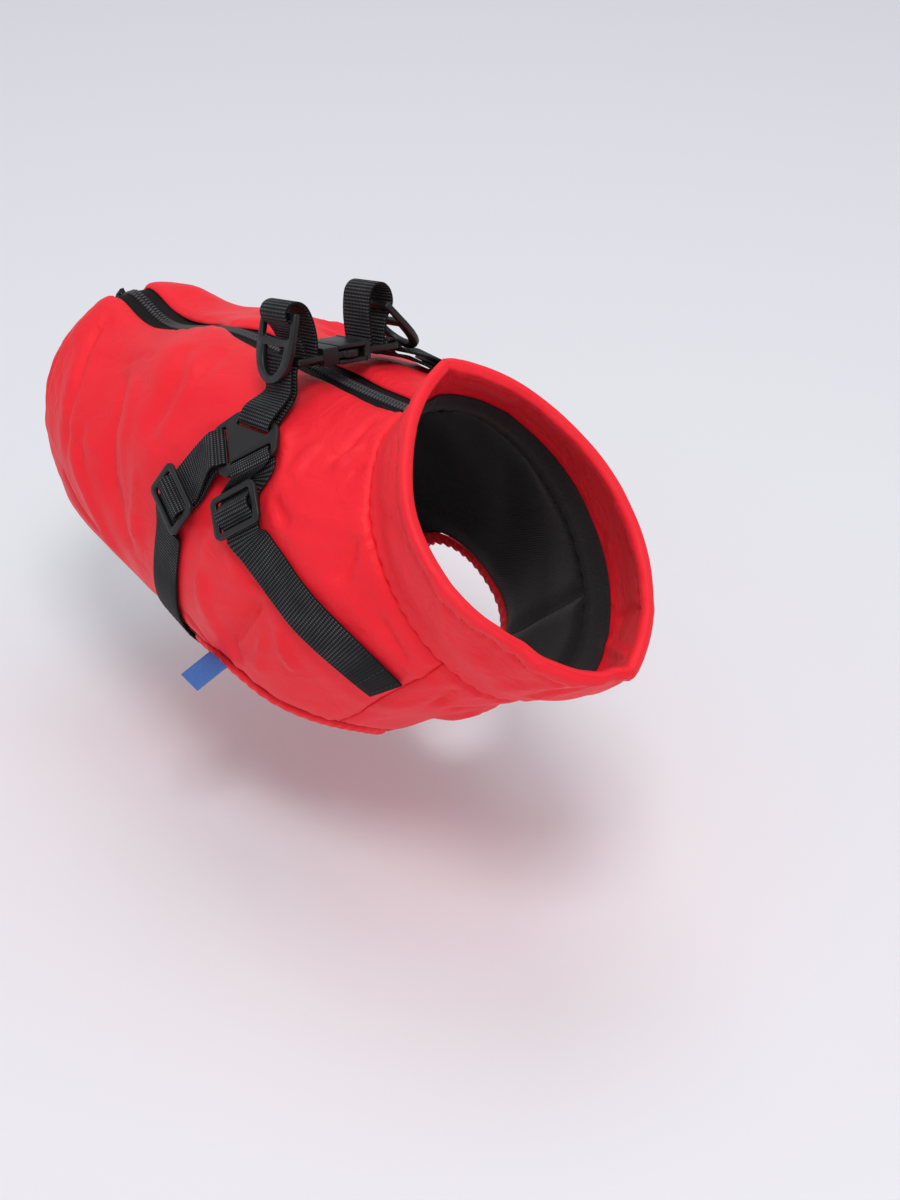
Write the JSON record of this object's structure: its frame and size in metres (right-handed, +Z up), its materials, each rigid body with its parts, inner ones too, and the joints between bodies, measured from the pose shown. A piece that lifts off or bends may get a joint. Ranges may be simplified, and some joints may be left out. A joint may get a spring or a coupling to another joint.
{
  "type": "dog vest harness",
  "caption": "Zip-back padded dog vest in its worn shape, with built-in webbing harness, buckle, strap sliders, leash rings and stand-up collar.",
  "frame": {"origin": "on the middle of the back between the front legs and the waist, under the buckle, where the vest rests on the dog's back", "axes": "+X towards the dog's head, +Y towards the dog's left, +Z up"},
  "size_m": [0.3815, 0.1729, 0.208],
  "materials": {
    "red_nylon": "smooth red nylon shell cloth with a slight satin sheen",
    "black_lining": "matte black knitted lining",
    "zip_tape": "black woven zip tape and nylon coil",
    "black_webbing": "black ribbed polyester webbing, 20 mm wide",
    "black_acetal": "black moulded acetal, satin",
    "black_zinc": "black lacquered zinc, semi-gloss",
    "blue_satin_label": "blue folded satin label, bare"
  },
  "bodies": {
    "root": {"side_right": "red_nylon", "side_left": "red_nylon", "chest_panel": "red_nylon", "collar": "red_nylon", "armhole_binding_right": "red_nylon", "armhole_binding_left": "red_nylon", "lining_right": "black_lining", "lining_left": "black_lining", "lining_chest": "black_lining", "collar_lining": "black_lining", "zip_tape_right": "zip_tape", "zip_tape_left": "zip_tape", "zip_chain": "zip_tape", "chest_strap_right": "black_webbing", "chest_strap_left": "black_webbing", "girth_strap": "black_webbing", "yoke_strap_right": "black_webbing", "yoke_strap_left": "black_webbing", "ring_loop_right": "black_webbing", "ring_loop_left": "black_webbing", "yoke_plate_right": "black_acetal", "yoke_plate_left": "black_acetal", "chest_slider_right": "black_acetal", "chest_slider_left": "black_acetal", "girth_slider_right": "black_acetal", "girth_slider_left": "black_acetal", "buckle_prongs": "black_acetal", "buckle_housing": "black_acetal", "zip_slider": "black_zinc", "side_label": "blue_satin_label"},
    "leash_ring_right": {"leash_ring_right": "black_acetal"},
    "leash_ring_left": {"leash_ring_left": "black_acetal"},
    "zip_pull": {"zip_pull": "black_zinc"}
  },
  "joints": [
    {"name": "ring_swing_right", "type": "hinge", "parent": "root", "child": "leash_ring_right", "pos_m": [-0.01287, -0.02349, 0.02469], "axis": [-0.9633, 0.0173, -0.2679], "range_deg": [0, 100]},
    {"name": "ring_swing_left", "type": "hinge", "parent": "root", "child": "leash_ring_left", "pos_m": [-0.00988, 0.02279, 0.01694], "axis": [0.9633, -0.0173, 0.2679], "range_deg": [0, 100]},
    {"name": "pull_swing", "type": "hinge", "parent": "root", "child": "zip_pull", "pos_m": [-0.18459, 0, -0.03563], "axis": [0, 1, 0], "range_deg": [0, 160]}
  ]
}
